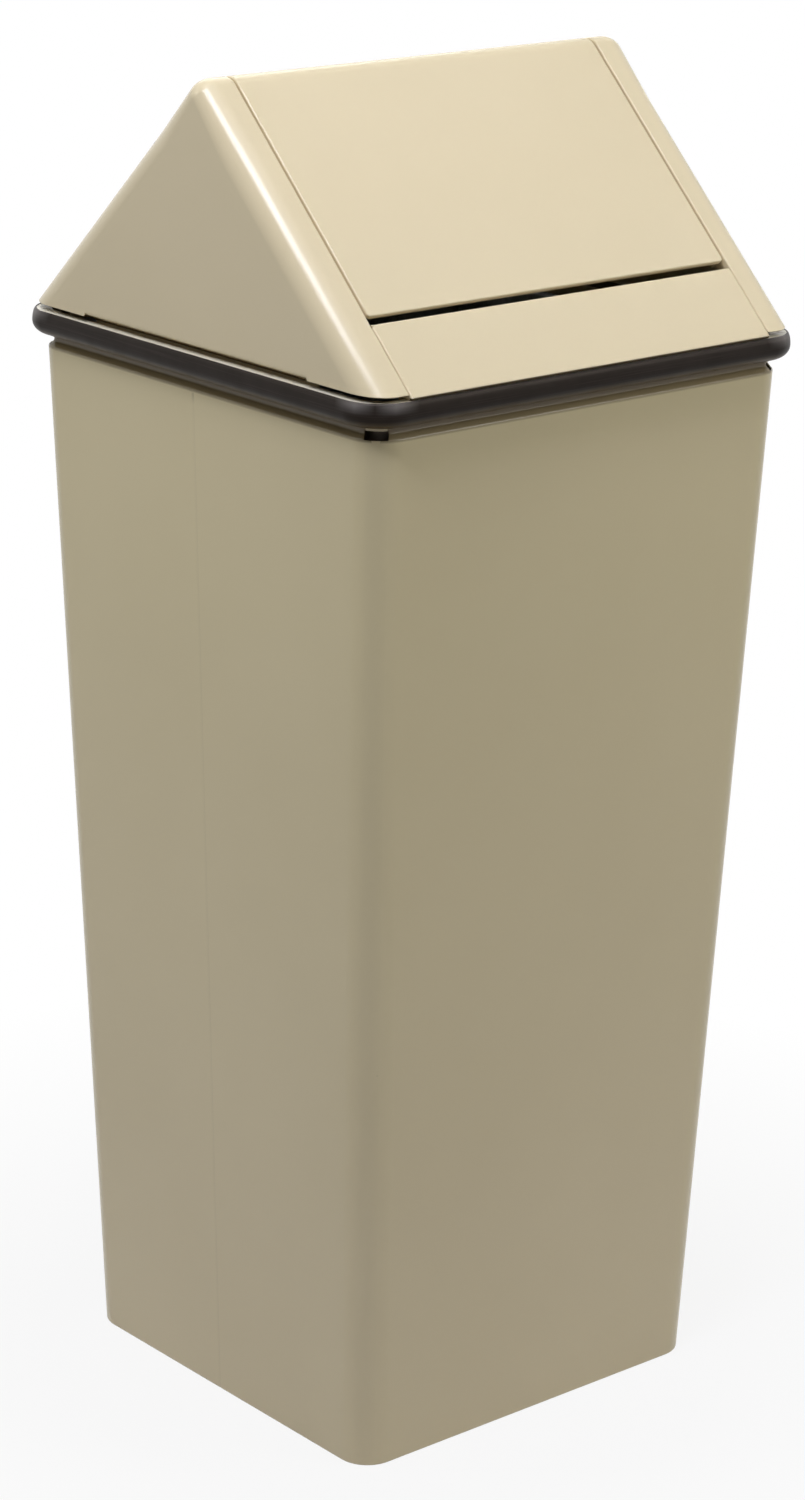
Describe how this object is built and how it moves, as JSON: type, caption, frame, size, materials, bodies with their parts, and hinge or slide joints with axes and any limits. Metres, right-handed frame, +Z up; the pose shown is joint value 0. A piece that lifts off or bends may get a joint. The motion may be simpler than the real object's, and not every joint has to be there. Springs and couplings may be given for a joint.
{
  "type": "swing door waste receptacle",
  "caption": "Tapered square steel waste receptacle with a gabled hood, a swing door on end pivots, a vinyl rim bumper and a lift-out liner with drop handles.",
  "frame": {"origin": "centre of the base, on the floor", "axes": "+Z up, +X along the ridge, the front door face looks towards -Y"},
  "size_m": [0.381, 0.381, 0.9311],
  "materials": {
    "almond_paint": "almond baked enamel, semi-gloss",
    "black_vinyl": "black-brown extruded vinyl",
    "galvanised_steel": "hot-dip galvanised",
    "zinc_plate": "bright zinc plate",
    "white_nylon": "natural nylon"
  },
  "bodies": {
    "receptacle": {"body_shell": "almond_paint", "bottom_pan": "almond_paint", "rim_bumper": "black_vinyl"},
    "liner": {"liner_tub": "galvanised_steel", "liner_rim_wire": "zinc_plate", "bail_ear_front_left": "galvanised_steel", "bail_ear_front_right": "galvanised_steel", "bail_ear_rear_left": "galvanised_steel", "bail_ear_rear_right": "galvanised_steel", "ear_rivet_front_left_1": "zinc_plate", "ear_rivet_front_left_2": "zinc_plate", "ear_rivet_front_right_1": "zinc_plate", "ear_rivet_front_right_2": "zinc_plate", "ear_rivet_rear_left_1": "zinc_plate", "ear_rivet_rear_left_2": "zinc_plate", "ear_rivet_rear_right_1": "zinc_plate", "ear_rivet_rear_right_2": "zinc_plate"},
    "bail_front": {"bail_front": "zinc_plate"},
    "bail_rear": {"bail_rear": "zinc_plate"},
    "hood": {"fascia_front": "almond_paint", "fascia_rear": "almond_paint", "end_cap_left": "almond_paint", "end_cap_right": "almond_paint", "pivot_bracket_left": "zinc_plate", "pivot_bracket_right": "zinc_plate", "pivot_bush_left": "white_nylon", "pivot_bush_right": "white_nylon", "bracket_rivet_left_front": "zinc_plate", "bracket_rivet_left_rear": "zinc_plate", "bracket_rivet_right_front": "zinc_plate", "bracket_rivet_right_rear": "zinc_plate"},
    "door": {"swing_door": "almond_paint", "door_gusset_left": "almond_paint", "door_gusset_right": "almond_paint", "pivot_pin_left": "zinc_plate", "pivot_pin_right": "zinc_plate", "gusset_rivet_left_front": "zinc_plate", "gusset_rivet_left_rear": "zinc_plate", "gusset_rivet_right_front": "zinc_plate", "gusset_rivet_right_rear": "zinc_plate"}
  },
  "joints": [
    {"name": "liner_lift", "type": "slide", "parent": "receptacle", "child": "liner", "axis": [0, 0, 1], "range_m": [0, 0.75]},
    {"name": "hood_lift", "type": "slide", "parent": "liner", "child": "hood", "axis": [0, 0, 1], "range_m": [0, 0.3]},
    {"name": "door_swing", "type": "hinge", "parent": "hood", "child": "door", "pos_m": [0, 0, 0.90306], "axis": [1, 0, 0], "range_deg": [-45, 45]},
    {"name": "bail_front_swing", "type": "hinge", "parent": "liner", "child": "bail_front", "pos_m": [0, -0.15828, 0.72825], "axis": [1, 0, 0], "range_deg": [0, 180]},
    {"name": "bail_rear_swing", "type": "hinge", "parent": "liner", "child": "bail_rear", "pos_m": [0, 0.15828, 0.72825], "axis": [-1, 0, 0], "range_deg": [0, 180]}
  ]
}
